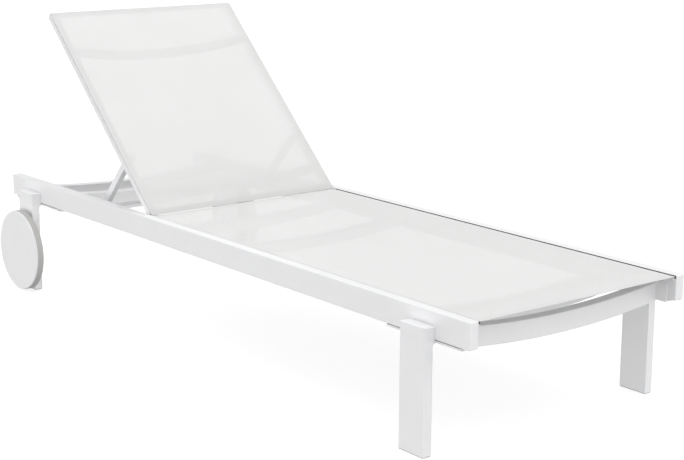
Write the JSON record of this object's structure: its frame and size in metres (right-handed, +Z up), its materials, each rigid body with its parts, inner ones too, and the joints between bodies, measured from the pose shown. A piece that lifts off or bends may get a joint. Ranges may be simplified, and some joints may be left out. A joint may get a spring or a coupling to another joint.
{
  "type": "reclining sun lounger",
  "caption": "White sling sun lounger with a raised hinged back on a U-shaped prop stay, slab legs, bowed cross tubes and two solid disc wheels at the head end.",
  "frame": {"origin": "on the floor under the middle of the lounger's overall box, back raised as modelled", "axes": "+X towards the foot end, +Y towards the sitter's left, +Z up"},
  "size_m": [2, 0.7774, 0.8079],
  "materials": {
    "white_frame": "satin white powder coat on aluminium",
    "cap_plastic": "fine-grained white moulding",
    "glide_plastic": "pale grey nylon",
    "sling_mesh": "white woven coated mesh",
    "spline_cord": "matt black",
    "pad_rubber": "matt black",
    "steel": "stainless",
    "rack_nylon": "white nylon",
    "bush_nylon": "grey nylon",
    "wheel_white": "satin white powder coat",
    "tyre_grey": "matt grey",
    "core_plastic": "grey moulding"
  },
  "bodies": {
    "base": {"side_rail_left": "white_frame", "side_rail_right": "white_frame", "rail_cap_foot_left": "cap_plastic", "rail_cap_foot_right": "cap_plastic", "rail_cap_head_left": "cap_plastic", "rail_cap_head_right": "cap_plastic", "leg_bracket_foot_left": "white_frame", "leg_bracket_foot_right": "white_frame", "leg_bracket_head_left": "white_frame", "leg_bracket_head_right": "white_frame", "leg_foot_left": "white_frame", "leg_foot_right": "white_frame", "leg_head_left": "white_frame", "leg_head_right": "white_frame", "leg_glide_foot_left": "glide_plastic", "leg_glide_foot_right": "glide_plastic", "leg_glide_head_left": "glide_plastic", "leg_glide_head_right": "glide_plastic", "seat_track_left": "white_frame", "seat_track_right": "white_frame", "seat_spline_left": "spline_cord", "seat_spline_right": "spline_cord", "rack_left": "rack_nylon", "rack_right": "rack_nylon", "crossbar_foot_outer": "white_frame", "crossbar_foot_inner": "white_frame", "crossbar_mid_front": "white_frame", "crossbar_mid_rear": "white_frame", "crossbar_head_outer": "white_frame", "crossbar_head_inner": "white_frame", "bracket_pads": "pad_rubber", "bracket_screws": "steel", "seat_sling": "sling_mesh", "rack_screws": "steel", "hinge_bolts": "steel", "hinge_washers": "bush_nylon", "axle_bolts": "steel", "axle_spacers": "bush_nylon"},
    "backrest": {"back_rail_left": "white_frame", "back_rail_right": "white_frame", "hinge_fitting_left": "white_frame", "hinge_fitting_right": "white_frame", "back_cap_left": "cap_plastic", "back_cap_right": "cap_plastic", "back_spline_left": "spline_cord", "back_spline_right": "spline_cord", "back_crossbar_upper": "white_frame", "back_crossbar_lower": "white_frame", "back_sling": "sling_mesh", "stay_bolts": "steel"},
    "prop_stay": {"stay_strut_left": "white_frame", "stay_strut_right": "white_frame", "stay_bar": "white_frame", "stay_sleeves": "bush_nylon"},
    "wheel_left": {"wheel_disc_left": "wheel_white", "wheel_tyre_left": "tyre_grey", "wheel_core_left": "core_plastic"},
    "wheel_right": {"wheel_disc_right": "wheel_white", "wheel_tyre_right": "tyre_grey", "wheel_core_right": "core_plastic"}
  },
  "joints": [
    {"name": "back_recline", "type": "hinge", "parent": "base", "child": "backrest", "pos_m": [-0.2644, 0, 0.306], "axis": [0, 1, 0], "range_deg": [-43.3, 20.7]},
    {"name": "stay_swing", "type": "hinge", "parent": "backrest", "child": "prop_stay", "pos_m": [-0.41627, 0, 0.44499], "axis": [0, 1, 0], "range_deg": [-41.4, 86.6]},
    {"name": "wheel_left_spin", "type": "hinge", "parent": "base", "child": "wheel_left", "pos_m": [-0.8685, 0.376, 0.1175], "axis": [0, 1, 0], "continuous": true},
    {"name": "wheel_right_spin", "type": "hinge", "parent": "base", "child": "wheel_right", "pos_m": [-0.8685, -0.376, 0.1175], "axis": [0, 1, 0], "continuous": true}
  ],
  "couplings": [
    {"joint": "stay_swing", "follows": "back_recline", "ratio": -2}
  ]
}
